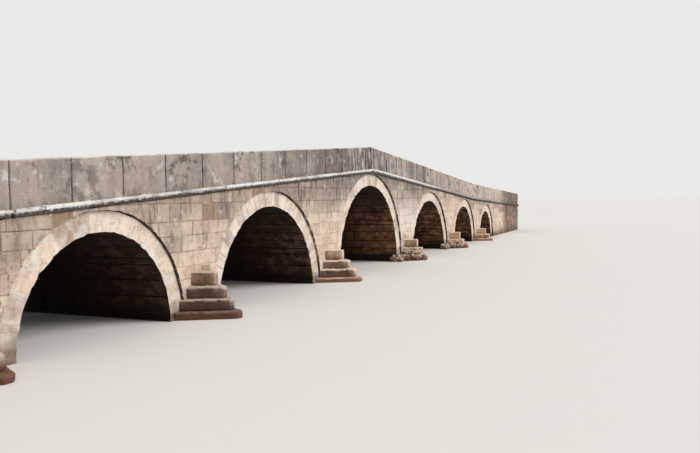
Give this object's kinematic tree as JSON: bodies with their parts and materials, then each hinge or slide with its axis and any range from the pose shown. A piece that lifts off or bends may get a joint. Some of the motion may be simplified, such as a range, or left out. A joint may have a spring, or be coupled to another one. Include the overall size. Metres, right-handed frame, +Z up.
{
  "type": "stone arch bridge",
  "caption": "Humped stone bridge of round arches with recessed arch rings, stepped cutwaters at the piers, a projecting cornice and solid slab parapets.",
  "frame": {"origin": "on the water line under the crown of the middle arch, on the centre line of the roadway", "axes": "+X along the bridge, +Y across it, +Z up; the front faces -Y"},
  "size_m": [39.8, 6.04, 2.9449],
  "materials": {
    "wall_stone": "weathered pale limestone ashlar",
    "vault_stone": "cream limestone, dressed",
    "cutwater_stone": "water-worn limestone, brown stained",
    "cornice_stone": "pale weathered limestone",
    "parapet_stone": "grey limestone slabs with dark streaks",
    "paving_stone": "worn rounded paving stones",
    "rubble": "rubble and lime mortar"
  },
  "bodies": {
    "root": {"vault_1": "vault_stone", "vault_2": "vault_stone", "vault_3": "vault_stone", "vault_4": "vault_stone", "vault_5": "vault_stone", "vault_6": "vault_stone", "vault_7": "vault_stone", "pier_1": "wall_stone", "pier_2": "wall_stone", "pier_3": "wall_stone", "pier_4": "wall_stone", "pier_5": "wall_stone", "pier_6": "wall_stone", "front_wall_1": "wall_stone", "front_wall_2": "wall_stone", "front_wall_3": "wall_stone", "front_wall_4": "wall_stone", "front_wall_5": "wall_stone", "front_wall_6": "wall_stone", "front_wall_7": "wall_stone", "front_wall_8": "wall_stone", "back_wall_1": "wall_stone", "back_wall_2": "wall_stone", "back_wall_3": "wall_stone", "back_wall_4": "wall_stone", "back_wall_5": "wall_stone", "back_wall_6": "wall_stone", "back_wall_7": "wall_stone", "back_wall_8": "wall_stone", "left_abutment": "wall_stone", "right_abutment": "wall_stone", "cutwater_1": "cutwater_stone", "cutwater_2": "cutwater_stone", "cutwater_3": "cutwater_stone", "cutwater_4": "cutwater_stone", "cutwater_5": "cutwater_stone", "cutwater_6": "cutwater_stone", "rubble_core": "rubble", "front_cornice": "cornice_stone", "back_cornice": "cornice_stone", "front_parapet": "parapet_stone", "back_parapet": "parapet_stone", "roadway": "paving_stone"}
  },
  "joints": []
}
